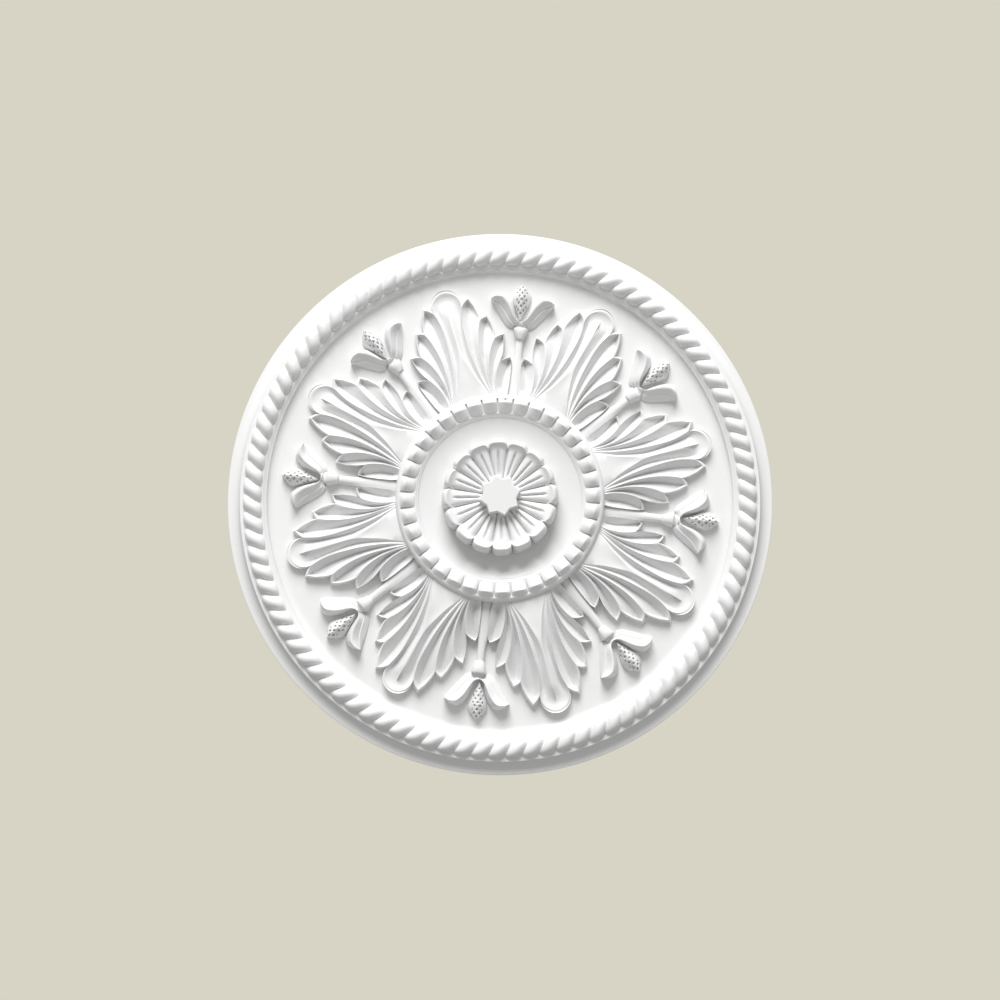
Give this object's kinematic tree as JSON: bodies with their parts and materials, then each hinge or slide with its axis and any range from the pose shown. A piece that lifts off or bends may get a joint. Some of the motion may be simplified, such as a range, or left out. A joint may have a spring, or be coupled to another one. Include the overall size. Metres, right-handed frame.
{
  "type": "ceiling rose",
  "caption": "Round moulded ceiling rose with a rope border, acanthus leaves, bellflowers and a petalled centre; glues flat to a ceiling.",
  "frame": {"origin": "centre of the flat back, where it meets the ceiling", "axes": "+Z up into the ceiling, so the carved face looks down along -Z; +X to the right and -Y up for someone who looks up at the face in its usual view"},
  "size_m": [0.54, 0.54, 0.042],
  "materials": {
    "white_primer": "smooth satin white primer over hard moulded foam"
  },
  "bodies": {
    "root": {"ceiling_rose": "white_primer"}
  },
  "joints": []
}
